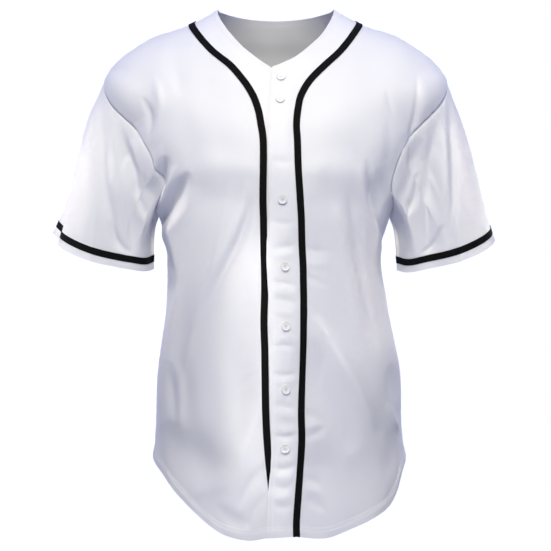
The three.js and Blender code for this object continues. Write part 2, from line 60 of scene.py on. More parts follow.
# A sleeve's curve: how it leaves the armhole below, and how far its two handles reach.
SLEEVE_UNDER, SLEEVE_START, SLEEVE_END = -0.25, 0.36, 0.33
SLEEVE_ROUND, SLEEVE_LONG = 75, 230  # about its radius and its length, for the weave
SLEEVE_PLAIN, LAP_FADE = 0.22, 0.67  # shares over which folds begin, and the lap sinks back
WAVE_HEIGHT = 1.35  # of the short waves across the front bands
HEM_STITCHES, CUFF_STITCHES, EDGE_STITCHES = (10, 13), (3, 7.5), 3  # distances from the edge
FLOOR = -1450  # the shoulders of a standing wearer are about this far up
CAMERA_DISTANCE, CAMERA_HEIGHT, FRAME_WIDTH = 3000, -385, 799  # the frame's width at the jersey

# Cross sections of the body: side, front and back height, half width, depth in front and
# behind, shift to the wearer's left, and squareness.
BODY = np.array([
    [-820, -820, -820, 187, 128, 142, 6, 2.2],
    [-667, -667, -667, 183, 126, 142, 6, 2.2],
    [-610, -610, -610, 178, 124, 138, 5, 2.2],
    [-520, -520, -520, 174, 119, 130, 4, 2.25],
    [-420, -420, -420, 158, 115, 122, 1, 2.3],
    [-350, -352, -350, 153, 118, 122, -4, 2.35],
    [-300, -304, -300, 167, 124, 124, -3, 2.35],
    [-230, -236, -230, 192, 130, 124, -1, 2.35],
    [-170, -182, -168, 222, 127, 120, 0, 2.35],
    [-97, -140, -108, 243, 114, 108, 0, 2.3],
    [-45, -108, -62, 185, 104, 94, 0, 2.15],
    [-24, -85, -36, 128, 95, 80, 0, 2.07],
    [0, -60, -8, 83, 86, 68, 0, 2],
    [12, -38, 8, 66, 76, 62, 0, 2],
], float)
SIDE, FRONT, BACK, HALF, CHEST, SPINE, SHIFT, POWER = range(8)

# Sewn lines as seen from the front, x and z, each from its lower end up.
LEFT_BRAID_LOW = [(29, -748), (29, -728), (31, -697), (34, -655), (36, -614), (35, -572),
                  (37, -489), (37, -405), (36, -363), (34.5, -304)]
LEFT_BRAID_HIGH = [(34.5, -304), (31, -239), (30, -197), (29, -176), (31, -155), (36, -133),
                   (49, -111), (70, -89), (92, -67), (110, -43)]
RIGHT_BRAID_LOW = [(0, -749), (-3, -711), (-6, -676), (-10, -634), (-13, -572), (-14, -489),
                   (-15, -447), (-15, -363), (-16.3, -304)]
RIGHT_BRAID_HIGH = [(-16.3, -304), (-17, -280), (-17, -197), (-20, -176), (-24, -155),
                    (-32, -133), (-46, -111), (-65, -89), (-90, -67), (-110, -43)]
LAP_EDGE_LOW = [(-12, -750), (-10, -683), (-7, -655), (-6, -625), (-8, -544), (-9, -447),
                (-9.5, -304)]
LAP_EDGE_HIGH = [(-9.5, -304), (-10, -183), (-4.5, -93)]
UNDER_EDGE_LOW = [(18, -748), (18, -544), (18, -304)]
UNDER_EDGE_HIGH = [(18, -304), (17, -190), (16, -110)]
LEFT_NECK = [(-4.5, -93), (28, -78), (48, -61), (65, -43), (77, -23)]
RIGHT_NECK = [(16, -110), (-4.5, -94), (-31, -75), (-51, -57), (-68, -36)]
LEFT_HEM = [(29, -748), (57, -751), (75, -750), (106, -739), (135, -727), (160, -711),
            (173, -688), (181, -664)]
RIGHT_HEM = [(0, -749), (-12, -750), (-33, -754), (-49, -753), (-75, -746), (-93, -735),
             (-119, -714), (-143, -692), (-166, -663)]
FRONT_TABLES = {
    1: (LEFT_BRAID_LOW, LEFT_BRAID_HIGH, LAP_EDGE_LOW, LAP_EDGE_HIGH, LEFT_NECK, LEFT_HEM),
    -1: (RIGHT_BRAID_LOW, RIGHT_BRAID_HIGH, UNDER_EDGE_LOW, UNDER_EDGE_HIGH, RIGHT_NECK, RIGHT_HEM),
}
BACK_HEM = [(181, -662), (170, -688), (150, -712), (110, -742), (60, -764), (0, -770),
            (-60, -764), (-110, -742), (-145, -712), (-160, -688), (-170, -662)]
FRONT_ARMHOLE = [(163, -264), (167, -236), (177, -208), (187, -193), (205, -165), (226, -137)]
BACK_ARMHOLE = [(171, -264), (180, -236), (192, -205), (206, -172), (224, -138)]

# Cuff rings: centre, direction across, half widths across and front to back, dip of the front,
# the reach and lift of the fold that stands out behind the right cuff, the notch before it, and
# how far the sleeve swells outwards on top.
CUFF_LEFT = dict(centre=(248, 0, -355), across=(0.951, 0, 0.309), half=73, depth=58, dip=0.27,
                 flare=0, notch=0, lift=0, swell=0.02)
CUFF_RIGHT = dict(centre=(-247, 0, -355.5), across=(-0.96, 0, 0.28), half=72, depth=58, dip=0.25,
                  flare=20, notch=6, lift=3, swell=0.12)

# Folds: half width, height, and then x and z of points on the crest as seen from the front. A
# trough has a height below zero. These lie on the front of the body.
CHEST_FOLDS = [
    # From the right armpit.
    (11, -14, -186, -330, -155, -292, -118, -240), (8, 6, -184, -316, -162, -278, -134, -230),
    (10, -10, -182, -300, -167, -262, -150, -216), (6, 4, -180, -262, -166, -232, -158, -200),
    (10, 3, -166, -338, -134, -306, -106, -260), (5, -4, -164, -334, -152, -360, -142, -389),
    # From the chest down to the right side seam.
    (9, 4.5, -56, -250, -84, -363, -108, -434, -141, -540),
    (7, 2.5, -36, -252, -53, -315, -75, -366, -95, -419),
    (7, -5, -31, -277, -45, -324, -64, -366, -84, -405),
    (30, 13, -2, -310, -12, -405, -14, -503, -8, -670),
    (26, -8, -122, -330, -134, -390, -142, -470, -128, -600),
    (4.5, 4, -127, -366, -136, -398, -148, -437, -162, -485),
    (11, -3.5, -121, -398, -136, -448, -148, -491, -154, -522),
    (9, -4, -159, -505, -151, -545, -143, -590), (9, 2.5, -146, -505, -138, -550, -136, -600),
    (36, -10, -166, -600, -110, -645, -52, -655),
    (13, 4.5, -19, -558, -36, -603, -67, -667, -126, -696), (7, -3.5, -14, -644, -33, -672, -53, -711),
    (6, -3, -14, -686, -29, -714, -42, -739), (10, -2.5, -85, -705, -61, -725, -29, -732),
    # The chest's broad swell, and the cloth under it on both sides.
    (50, 3, -190, -236, -85, -236, 10, -238, 95, -236, 195, -240),
    (120, 13, -190, -335, -85, -338, 10, -338, 95, -338, 195, -335),
    (90, -5, -190, -690, -85, -705, 10, -710), (32, 5, -196, -168, -168, -200, -120, -222),
    (32, 5, 205, -160, 172, -200, 120, -222), (30, 12, -236, -92, -226, -134, -200, -182),
    (30, 12, 236, -92, 226, -134, 200, -182), (22, -2, -150, -282, -85, -280, -20, -284),
    (22, -1.5, 34, -286, 89, -284, 160, -286), (22, 3.5, -158, -238, -85, -234, -20, -240),
    (22, 4, 34, -242, 89, -238, 160, -242), (9, -1.5, 72, -222, 71, -256, 80, -300),
    # From the left armpit down the left side.
    (8, -4.5, 99, -262, 105, -310, 112, -360, 134, -460),
    (13, 2.5, 84, -280, 95, -349, 109, -419, 122, -476),
    (7, -7, 124, -222, 133, -265, 146, -313, 155, -350), (12, -6, 142, -232, 149, -278, 153, -327),
    (8, 3, 113, -228, 120, -266, 131, -312), (12, 6.5, 52, -440, 84, -494, 110, -544, 140, -606),
    (24, -8, 36, -476, 54, -530, 80, -588, 112, -632), (8, 2.5, 33, -419, 50, -461, 64, -503),
    (70, 10, 40, -350, 40, -480, 40, -650), (80, 7, 60, -520, 130, -536, 195, -550),
    (10, -3.5, 159, -512, 164, -541, 168, -565), (6, 4, 153, -564, 163, -586, 176, -610),
    (12, -3, 162, -601, 166, -633, 155, -674), (48, -6, 30, -640, 90, -662, 160, -660),
    # Across the shoulders.
    (3.2, -3, 200, -96, 196, -144, 188, -190, 162, -266), (7, 2, 208, -100, 206, -140, 197, -182),
    (4, -1.5, 155, -122, 160, -142, 166, -162), (8, -2, 158, -167, 157, -209, 155, -257),
    (4.5, -3, -187, -133, -177, -155, -176, -197), (7, 2, -171, -102, -163, -139, -166, -181),
    (12, -1.5, -150, -60, -140, -95, -128, -135),
    # Beside the left braid.
    (5, -1, 36, -344, 52, -348, 74, -351), (5, -1.6, 36, -384, 50, -390, 70, -402),
    (6, 1, 36, -366, 52, -368, 76, -372), (6, -1.4, 36, -574, 50, -580, 72, -592),
    (6, -1.8, 36, -610, 52, -606, 72, -596), (5, 1.2, 36, -594, 48, -594, 64, -592),
    (5.5, -1.6, 36, -664, 48, -668, 66, -678), (5.5, -1.6, 36, -695, 52, -701, 72, -714),
    (6, 1.3, 36, -680, 52, -685, 74, -694), (6, -1, -20, -418, -36, -428, -56, -444),
    (6, -1, -20, -518, -36, -530, -54, -548),
]
# Short waves across the front bands, in each gap between buttons.
PLACKET_WAVES = [
    (5, -1.1, -8, -348, 12, -345, 32, -342), (5, 0.9, -6, -359, 12, -357, 30, -355),
    (4, -1.3, -8, -392, 12, -396, 32, -400), (5, 1, -6, -405, 12, -408, 30, -412),
    (5, -1.1, -8, -416, 12, -420, 32, -425), (5, 0.9, -6, -431, 12, -436, 30, -440),
    (5, 0.8, -8, -474, 12, -472, 32, -476), (4, -1.2, -6, -484, 12, -482, 30, -487),
    (4, -1.5, -8, -520, 12, -523, 32, -521), (4, 0.9, -6, -531, 12, -533, 30, -531),
    (5, -0.9, -8, -562, 12, -566, 32, -570), (5, 0.9, -6, -574, 12, -578, 30, -582),
    (4, -1.8, -5, -606, 12, -609, 32, -607), (4, 1, -4, -598, 12, -600, 32, -599),
    (5, 0.9, -4, -641, 12, -643, 28, -639), (4, -1.3, -5, -651, 12, -654, 28, -650),
    (5, 1, -4, -664, 12, -667, 28, -662), (5, -1.2, -5, -676, 12, -680, 28, -674),
    (5, 1, -4, -692, 12, -694, 26, -690), (5, -1.1, -5, -705, 12, -707, 26, -703),
    (6, -0.6, -6, -225, 10, -228, 28, -226), (5, -0.7, -6, -310, 10, -313, 30, -311),
]
# On the front of the two sleeves.
SLEEVE_FOLDS = [
    (10, -8, -240, -95, -245, -190, -241, -280, -222, -352), (30, 5, -254, -90, -268, -200, -276, -350),
    (7, -7, -224, -118, -213, -199, -196, -262, -172, -322),
    (8, 2.5, -231, -130, -227, -206, -216, -277, -205, -355),
    (12, -8, -216, -136, -200, -172, -184, -215), (18, -8, -190, -200, -180, -250, -174, -310),
    (6, -4.5, -240, -306, -227, -337, -200, -358), (24, -6, -216, -120, -212, -240, -202, -380),
    (110, -12, -262, -345, -215, -352, -168, -358), (10, -3, -201, -280, -197, -320, -201, -362),
    (6, -6, 243, -112, 252, -200, 253, -290, 246, -350), (30, 5, 256, -90, 270, -200, 278, -350),
    (7, 3, 237, -122, 240, -215, 236, -300, 228, -350),
    (10, -8, 226, -112, 225, -200, 220, -272, 210, -350), (12, -9, 222, -140, 204, -182, 188, -235),
    (18, -9, 206, -170, 188, -235, 176, -300), (6, -6, 208, -238, 194, -280, 174, -312),
    (6, -5, 243, -312, 226, -343, 200, -358), (24, -6, 220, -120, 220, -240, 212, -380),
    (110, -18, 262, -345, 215, -352, 168, -358),
]
# On the back of the body and sleeves.
BACK_FOLDS = [
    (12, -6, -206, -125, -188, -195, -178, -262), (12, -6, 208, -120, 194, -190, 182, -257),
    (9, 4, -196, -150, -168, -215, -150, -280), (9, 4, 196, -150, 170, -210, 146, -276),
    (9, -6, -172, -300, -140, -268, -96, -232), (9, -6, 172, -304, 136, -276, 104, -226),
    (8, 3, -168, -318, -128, -296, -92, -272), (8, 3, 168, -322, 130, -302, 84, -270),
    (24, 3, -120, -120, -60, -150, 0, -158, 66, -150, 126, -118),
    (26, -2.5, -110, -196, 0, -214, 112, -194), (24, 4.5, -55, -190, -75, -320, -112, -450),
    (10, -3, -26, -250, -48, -350, -70, -420), (24, -4.5, 58, -240, 78, -370, 104, -500),
    (12, 2.5, 20, -230, 34, -330, 30, -450), (14, -4, -150, -325, -115, -400, -45, -470),
    (10, 3, -140, -375, -100, -440, -38, -498), (14, 4, 142, -330, 108, -415, 50, -490),
    (9, -3.5, 150, -380, 118, -446, 64, -508), (14, -4, -158, -420, -132, -520, -120, -600),
    (12, -4, 158, -430, 140, -540, 136, -640), (22, 5, -95, -540, -72, -640, -50, -735),
    (14, -3.5, -36, -560, -24, -650, -18, -740), (22, -4.5, 88, -560, 84, -650, 70, -735),
    (14, 3.5, 34, -590, 36, -670, 30, -750), (12, 3.5, 126, -600, 118, -670, 100, -740),
    (12, -4, -140, -600, -126, -660, -108, -720), (10, -5, 252, -135, 258, -235, 262, -340),
    (9, -4.5, 232, -150, 230, -240, 226, -350), (8, 3.5, 242, -160, 244, -250, 246, -340),
    (9, 3.5, 206, -200, 200, -270, 196, -350), (10, -5, -250, -140, -256, -240, -262, -340),
    (9, -4.5, -230, -150, -228, -240, -222, -350), (8, 3.5, -240, -160, -242, -250, -244, -340),
    (9, 3.5, -206, -200, -198, -270, -192, -350),
]
FOLD_EDGE = 0.35  # folds fade out where the cloth turns away from the front or the back

BUTTONS = [(7.7, -106), (6.3, -138), (9.7, -279.5), (13, -372), (13.9, -455), (13.9, -542.5),
           (12.9, -625)]
BUTTON_RADIUS, BUTTON_THICK, BUTTON_LIFT, BUTTON_RIM, BUTTON_DISH = 6.5, 2.4, 0.6, 1.3, 0.7
HOLE_RADIUS, HOLE_PLACE = 0.62, 1.05  # a hole, and how far it lies from both middle lines

# Distances above the hem, in millimetres, at which rows of points are set.
HEM_ROWS = np.array([0, 1.5, 3, 5, 7, 9, 10.5, 12, 13.5, 15, 17, 20])
HEM_RUN = 400  # about the length of cloth from hem to armpit
EDGE_SHARES = np.array([0, 0.005, 0.011, 0.018, 0.026, 0.036, 0.046])


def edge_fine(count):
    """Shares from 0 to 1 that lie close together at both ends."""
    return np.concatenate([EDGE_SHARES, np.linspace(0.06, 0.94, count), 1 - EDGE_SHARES[::-1]])


def divisions(low, high, panel, band, neck):
    """How finely a piece is divided: shares of its low and high rows and of its columns."""
    low = np.concatenate([HEM_ROWS / HEM_RUN, np.linspace(0.06, 1, low)])
    to_neck = np.linspace(0.02, LAP_SHARE, int(high * LAP_SHARE))
    past_neck = np.linspace(LAP_SHARE, 0.98, int(high * (1 - LAP_SHARE)))
    high = np.concatenate([[0, 0.005, 0.011], to_neck, past_neck[1:], [0.989, 0.995, 1]])
    return dict(low=low, high=high, rows=join(low / 2, 0.5 + high / 2), panel=edge_fine(panel),
                band=np.linspace(0, 1, band), neck=np.linspace(0, 1, neck))


def join(*parts):
    return np.concatenate([parts[0]] + [p[1:] for p in parts[1:]])


def smooth(t):
    """A soft step from 0 to 1."""
    c = np.clip(t, 0, 1)
    return c * c * (3 - 2 * c)


def swell(d, middle, width):
    """1 at the middle, and nothing from about twice the width on."""
    return np.exp(-(((d - middle) / width) ** 2))


def unit(v):
    return v / np.maximum(np.linalg.norm(v, axis=-1, keepdims=True), 1e-12)


# The body surface, the same as the solids have.

def run_length(points):
    """The distance along a line of points, 0 at its start."""
    return np.concatenate([[0], np.cumsum(np.linalg.norm(np.diff(points, axis=0), axis=1))])


def spline_slopes(knots, values):
    """Slopes at the knots of a smooth curve through the values."""
    h = np.diff(knots)
    d = np.diff(values, axis=0) / h[:, None]
    slopes = np.empty_like(values)
    slopes[1:-1] = (d[:-1] * h[1:, None] + d[1:] * h[:-1, None]) / (h[1:] + h[:-1])[:, None]
    slopes[0], slopes[-1] = d[0], d[-1]
    return slopes


def cubic(t, h, p, slope_p, q, slope_q):
    """The value at share t of the way from p to q, which lie h apart."""
    return ((2 * t**3 - 3 * t**2 + 1) * p + (t**3 - 2 * t**2 + t) * h * slope_p
            + (3 * t**2 - 2 * t**3) * q + (t**3 - t**2) * h * slope_q)


def spline(knots, values, slopes, at):
    """Values at places between the knots."""
    i = np.clip(np.searchsorted(knots, at, side="right") - 1, 0, len(knots) - 2)
    h = (knots[i + 1] - knots[i])[..., None]
    return cubic((at - knots[i])[..., None] / h, h, values[i], slopes[i], values[i + 1], slopes[i + 1])


# Levels: the mean of the way up the side seam and the way up the centre front.
KNOTS = (run_length(BODY[:, [SIDE, HALF]]) + run_length(BODY[:, [FRONT, CHEST]])) / 2
SLOPES = spline_slopes(KNOTS, BODY)
NECK_LEVEL, CHEST_LEVEL = KNOTS[-2], KNOTS[8]


def section(level):
    """Sizes of the cross section at each level, one column for each column of BODY."""
    return spline(KNOTS, BODY, SLOPES, np.clip(level, KNOTS[0], KNOTS[-1]))


def smooth_body(angle, level):
    """The point at an angle round the body, 0 at the centre front, positive towards +X."""
    angle, level = np.broadcast_arrays(np.asarray(angle, float), np.asarray(level, float))
    c = section(level)
    s, k = np.sin(angle), np.cos(angle)
    depth = np.where(k > 0, c[..., CHEST], c[..., SPINE])
    end = np.where(k > 0, c[..., FRONT], c[..., BACK])
    half, power = c[..., HALF], c[..., POWER]
    r = ((np.abs(s) / half) ** power + (np.abs(k) / depth) ** power) ** (-1 / power)
    x = r * s
    z = c[..., SIDE] + (end - c[..., SIDE]) * (1 - (x / half) ** 2)
    return np.stack([x + c[..., SHIFT], -r * k, z], -1)


def body_normal(angle, level):
    across = smooth_body(angle + 0.002, level) - smooth_body(angle - 0.002, level)
    up = smooth_body(angle, level + 0.5) - smooth_body(angle, level - 0.5)
    return unit(np.cross(across, up))


def crest(points):
    """Points along a smooth curve through the given ones."""
    p = np.array(points, float)
    t = run_length(p)
    return spline(t, p, spline_slopes(t, p), np.linspace(0, t[-1], CREST_POINTS))


def fold_sum(folds, p):
    """Height of all folds at points seen from the front."""
    total = np.zeros(p.shape[:-1])
    for width, height, *places in folds:
        ridge = crest(np.reshape(places, (-1, 2)))
        low, high = ridge.min(0) - 3 * width, ridge.max(0) + 3 * width
        near = np.all((p[..., [0, 2]] > low) & (p[..., [0, 2]] < high), -1)
        x, z = p[near][:, 0], p[near][:, 2]
        gap, along = np.full(x.shape, np.inf), np.zeros(x.shape)
        for i, (a, b) in enumerate(zip(ridge[:-1], ridge[1:])):
            run = b - a
            t = np.clip(((x - a[0]) * run[0] + (z - a[1]) * run[1]) / (run @ run), 0, 1)
            d = np.hypot(x - a[0] - t * run[0], z - a[1] - t * run[1])
            along = np.where(d < gap, (i + t) / (len(ridge) - 1), along)
            gap = np.minimum(gap, d)
        fullness = np.sin(math.pi * along)
        narrowed = width * (0.4 + 0.6 * fullness ** 0.7)
        total[near] += height * swell(gap, 0, narrowed) * fullness ** 0.9
    return total


def unevenness(p):
    """The slight waviness of loose knit all over."""
    x, y, z = p[..., 0], p[..., 1], p[..., 2]
    return (0.30 * np.sin(x / 19 + z / 41 + 1) + 0.28 * np.sin(x / 13 - z / 29 + y / 31)
            + 0.22 * np.sin(x / 31 + z / 17 + y / 23 + 2) + 0.18 * np.sin(x / 9 + z / 23 - y / 11 + 4)
            + 0.4 * np.sin(z / 57 + x / 71 + y / 47))


def fold_height(p, n, front_folds):
    front = smooth((0.1 - n[..., 1]) / FOLD_EDGE)
    back = smooth((n[..., 1] - 0.1) / FOLD_EDGE)
    return (front * fold_sum(front_folds, p) + back * fold_sum(BACK_FOLDS, p) + unevenness(p))


def body_point(line):
    angle, level = line[..., 0], line[..., 1]
    p, n = smooth_body(angle, level), body_normal(angle, level)
    return p + n * fold_height(p, n, CHEST_FOLDS)[..., None]


def level_at(angle, z):
    low, high = np.full(np.shape(z), KNOTS[0]), np.full(np.shape(z), KNOTS[-1])
    for _ in range(HALVINGS):
        mid = (low + high) / 2
        under = smooth_body(angle, mid)[..., 2] < z
        low, high = np.where(under, mid, low), np.where(under, high, mid)
    return low


def locate(points, from_back=False):
    """Angle and level of the surface points seen at x and z."""
    x, z = np.array(points, float).T

    def turn(a):
        return math.pi - a if from_back else a

    low, high = np.full(x.shape, -math.pi / 2), np.full(x.shape, math.pi / 2)
    for _ in range(HALVINGS):
        mid = (low + high) / 2
        left = smooth_body(turn(mid), level_at(turn(mid), z))[..., 0] < x
        low, high = np.where(left, mid, low), np.where(left, high, mid)
    return np.stack([turn(low), level_at(turn(low), z)], -1)


# Sewn lines, as rows of (angle, level).

def line(knots, shares):
    """Points at shares of the length of a smooth curve through the knots."""
    p = np.array(knots, float) * [CURVE_SCALE, 1]
    if len(p) == 2:
        fine = p[0] + np.linspace(0, 1, 50)[:, None] * (p[1] - p[0])
    else:
        gaps = np.sqrt(np.linalg.norm(np.diff(p, axis=0), axis=1))
        t = np.concatenate([[0], np.cumsum(gaps)])
        slopes = spline_slopes(t, p)
        fine = []
        for i in range(len(p) - 1):
            s = np.linspace(0, 1, 40, endpoint=i == len(p) - 2)[:, None]
            fine.append(cubic(s, t[i + 1] - t[i], p[i], slopes[i], p[i + 1], slopes[i + 1]))
        fine = np.concatenate(fine)
    length = run_length(fine)
    at = np.asarray(shares) * length[-1]
    return np.stack([np.interp(at, length, fine[:, k]) for k in (0, 1)], -1) / [CURVE_SCALE, 1]


def patch(centre, bottom, top, left, right, u, v):
    """Angles and levels of a piece between its four lines, blended as on flat cloth."""
    def flat(edge):
        reach = (edge[:, 0] - centre) * section(edge[:, 1])[:, HALF]
        return np.stack([reach, edge[:, 1]], -1)

    b, t, l, r = (flat(edge) for edge in (bottom, top, left, right))
    u, v = u[None, :, None], v[:, None, None]
    corners = (1 - v) * ((1 - u) * b[0] + u * b[-1]) + v * ((1 - u) * t[0] + u * t[-1])
    flat_points = (1 - v) * b[None] + v * t[None] + (1 - u) * l[:, None] + u * r[:, None] - corners
    level = flat_points[..., 1]
    angle = centre + flat_points[..., 0] / section(level)[..., HALF]
    return np.stack([angle, level], -1), flat_points


def on_side(side, z):
    angle = side * math.pi / 2
    return (angle, float(level_at(np.array(angle), np.array(float(z)))))


def shoulder_line(side, shares, panel):
    """The shoulder seam from the neck to the braid, or from the braid to the sleeve."""
    angle = side * math.pi / 2
    levels = np.linspace(NECK_LEVEL, CHEST_LEVEL, 400)
    reach = np.abs(smooth_body(angle, levels)[:, 0])
    braid = float(np.interp(BRAID_END, reach, levels))
    start, end = (braid, on_side(side, SHOULDER_POINT)[1]) if panel else (NECK_LEVEL, braid)
    return np.stack([np.full(len(shares), angle), start + shares * (end - start)], -1)


def side_line(side, shares):
    return line([on_side(side, z) for z in (SIDE_SEAM_FOOT, -480, ARMPIT)], shares)


def armhole(side, table, from_back, shares):
    inner = locate([(side * x, z) for x, z in table], from_back)
    ends = [on_side(side, ARMPIT), on_side(side, SHOULDER_POINT)]
    knots = np.concatenate([[ends[0]], inner, [ends[1]]])
    return line(turned(knots) if from_back and side < 0 else knots, shares)


def turned(points):
    """The same places with angles above zero, for lines that end behind the right side seam."""
    angle = np.where(points[:, 0] < 0, points[:, 0] + 2 * math.pi, points[:, 0])
    return np.stack([angle, points[:, 1]], -1)


def front_lines(side, steps):
    """The sewn lines of one front."""
    low, high, edge_low, edge_high, neck, hem = (locate(table) for table in FRONT_TABLES[side])
    band_top = shoulder_line(side, steps["band"], False)
    panel_top = shoulder_line(side, steps["panel"], True)
    seam = join(line(low, steps["low"]),
                line(np.concatenate([high, panel_top[:1]]), steps["high"]))
    below = steps["high"] <= LAP_SHARE + 1e-6
    to_neck, past_neck = steps["high"][below], steps["high"][~below]
    neck_shares = np.concatenate([[0], (past_neck - LAP_SHARE) / (1 - LAP_SHARE)])
    edge = join(line(edge_low, steps["low"]), line(edge_high, to_neck / LAP_SHARE),
                line(np.concatenate([neck, band_top[:1]]), neck_shares))
    outside = join(side_line(side, steps["low"]), armhole(side, FRONT_ARMHOLE, False, steps["high"]))
    hem = line(np.concatenate([hem, outside[:1]]), steps["panel"])
    return dict(seam=seam, edge=edge, outside=outside, hem=hem, band_top=band_top,
                panel_top=panel_top, band_hem=line([edge[0], seam[0]], steps["band"]))


def front_piece(lines, steps, left, band):
    """Angles and levels of a panel or band, its columns always running towards the left."""
    names = ("band_hem", "band_top", "edge", "seam") if band else ("hem", "panel_top", "seam", "outside")
    bottom, top, inner, outer = (lines[name] for name in names)
    if not left:
        bottom, top, inner, outer = bottom[::-1], top[::-1], outer, inner
    return patch(0, bottom, top, inner, outer, steps["band" if band else "panel"], steps["rows"])


def back_panel(left, right, steps):
    """Angles and levels of the back, with the plain neckline between its shoulder seams."""
    panel, band, neck = steps["panel"], steps["band"], steps["neck"]
    neck_line = np.stack([math.pi / 2 + neck * math.pi, np.full(len(neck), NECK_LEVEL)], -1)
    shoulder_left = join(left["panel_top"][::-1], left["band_top"][::-1])
    top = join(shoulder_left, neck_line, turned(join(right["band_top"], right["panel_top"])))
    p, b, n = PANEL_PART, BAND_PART, NECK_PART
    shares = join(panel * p, p + band * b, p + b + neck * n, p + b + n + band * b,
                  p + 2 * b + n + panel * p) / (2 * p + 2 * b + n)
    side_left, side_right = left["outside"][:1], turned(right["outside"][:1])
    bottom = line(np.concatenate([side_left, locate(BACK_HEM, True), side_right]), shares)
    low = len(steps["low"])
    holes = [armhole(side, BACK_ARMHOLE, True, steps["high"]) for side in (1, -1)]
    sides = [join(left["outside"][:low], holes[0]),
             join(turned(right["outside"][:low]), turned(holes[1]))]
    return patch(math.pi, bottom, top, *sides, shares, steps["rows"])


# Meshes from grids of points.

def grid_normals(points, ring=False):
    """Outward directions. The two ends of a ring are the same line of points."""
    if ring:
        wide = np.concatenate([points[:, -2:-1], points, points[:, 1:2]], 1)
        across = wide[:, 2:] - wide[:, :-2]
    else:
        across = np.gradient(points, axis=1)
    return unit(np.cross(across, np.gradient(points, axis=0)))


def drawn_back(points, ring=False):
    """The points with each sewn edge a little back from its seam."""
    p = points.copy()
    p[0] += SEAM_PULL * unit(points[1] - points[0])
    p[-1] += SEAM_PULL * unit(points[-2] - points[-1])
    if not ring:
        p[:, 0] += SEAM_PULL * unit(points[:, 1] - points[:, 0])
        p[:, -1] += SEAM_PULL * unit(points[:, -2] - points[:, -1])
    return p


def active():
    return bpy.context.view_layer.objects.active


def deselect():
    bpy.ops.object.select_all(action="DESELECT")


def edit(on):
    bpy.ops.object.mode_set(mode="EDIT" if on else "OBJECT")


def apply_transform():
    bpy.ops.object.transform_apply(location=True, rotation=True, scale=True)


def make_active(obj):
    deselect()
    bpy.context.view_layer.objects.active = obj
    obj.select_set(True)


def add_object(name, data):
    obj = bpy.data.objects.new(name, data)
    bpy.context.collection.objects.link(obj)
    return obj


def grid_object(name, points, uv, ring=False):
    """A mesh grid whose points and UV map are given in millimetres."""
    rows, columns = points.shape[:2]
    deselect()
    bpy.ops.mesh.primitive_grid_add(x_subdivisions=columns - 1, y_subdivisions=rows - 1, size=1)
    obj = active()
    obj.name = obj.data.name = name
    co = np.empty(rows * columns * 3)
    obj.data.vertices.foreach_get("co", co)
    co = co.reshape(-1, 3)
    i = np.rint((co[:, 0] + 0.5) * (columns - 1)).astype(int)
    j = np.rint((co[:, 1] + 0.5) * (rows - 1)).astype(int)
    obj.data.vertices.foreach_set("co", (points[j, i] * MM).ravel())
    corner = np.empty(len(obj.data.loops), int)
    obj.data.loops.foreach_get("vertex_index", corner)
    layer = obj.data.uv_layers.active or obj.data.uv_layers.new(name="cloth")
    layer.name = "cloth"
    layer.data.foreach_set("uv", (uv[j, i][corner] * MM * 10).ravel())
    if ring:
        edit(True)
        bpy.ops.mesh.select_all(action="SELECT")
        bpy.ops.mesh.remove_doubles(threshold=2e-6)
        edit(False)
    obj.data.update()
    return obj


def apply_modifier(obj, kind, **values):
    make_active(obj)
    modifier = obj.modifiers.new(kind.lower(), kind)
    for key, value in values.items():
        setattr(modifier, key, value)
    bpy.ops.object.modifier_apply(modifier=modifier.name)


def soften(obj, degrees):
    make_active(obj)
    bpy.ops.object.shade_smooth_by_angle(angle=math.radians(degrees))


def round_edges(obj, width, segments, degrees):
    apply_modifier(obj, "BEVEL", width=width * MM, segments=segments, limit_method="ANGLE",
                   angle_limit=math.radians(degrees))


def cloth_object(name, points, uv, ring=False):
    obj = grid_object(name, drawn_back(points, ring), uv, ring)
    apply_modifier(obj, "SOLIDIFY", thickness=CLOTH * MM, offset=-1, use_rim=True)
    soften(obj, 50)
    return obj


# The pieces of cloth.

def lap_raise(points, heights, left):
    """Lifts the band off the other one, back to nothing at its seam and up the neck."""
    spread = FRONT_STEPS["band"] if left else FRONT_STEPS["band"][::-1]
    lift = np.interp(spread, np.linspace(0, 1, 4), heights)
    neck_point = 0.5 + LAP_SHARE / 2
    fade = 1 - smooth((FRONT_STEPS["rows"] - neck_point) / (1 - neck_point) / LAP_FADE)
    return points + grid_normals(points) * (lift[None, :] * fade[:, None])[..., None]


def cuff_ring(angle, cuff):
    """Points of the sleeve hem and their directions from its middle."""
    across, centre = np.array(cuff["across"], float), np.array(cuff["centre"], float)
    forward = np.array([0, -math.sqrt(1 - cuff["dip"] ** 2), -cuff["dip"]])
    behind, beside = swell(angle, -0.6, 0.32), swell(angle, -0.1, 0.3)
    reach = cuff["half"] * np.cos(angle) + cuff["flare"] * behind - cuff["notch"] * beside
    spoke = reach[:, None] * across + (cuff["depth"] * np.sin(angle))[:, None] * forward
    ends = centre + spoke
    ends[:, 2] += cuff["lift"] * behind
    return ends, spoke


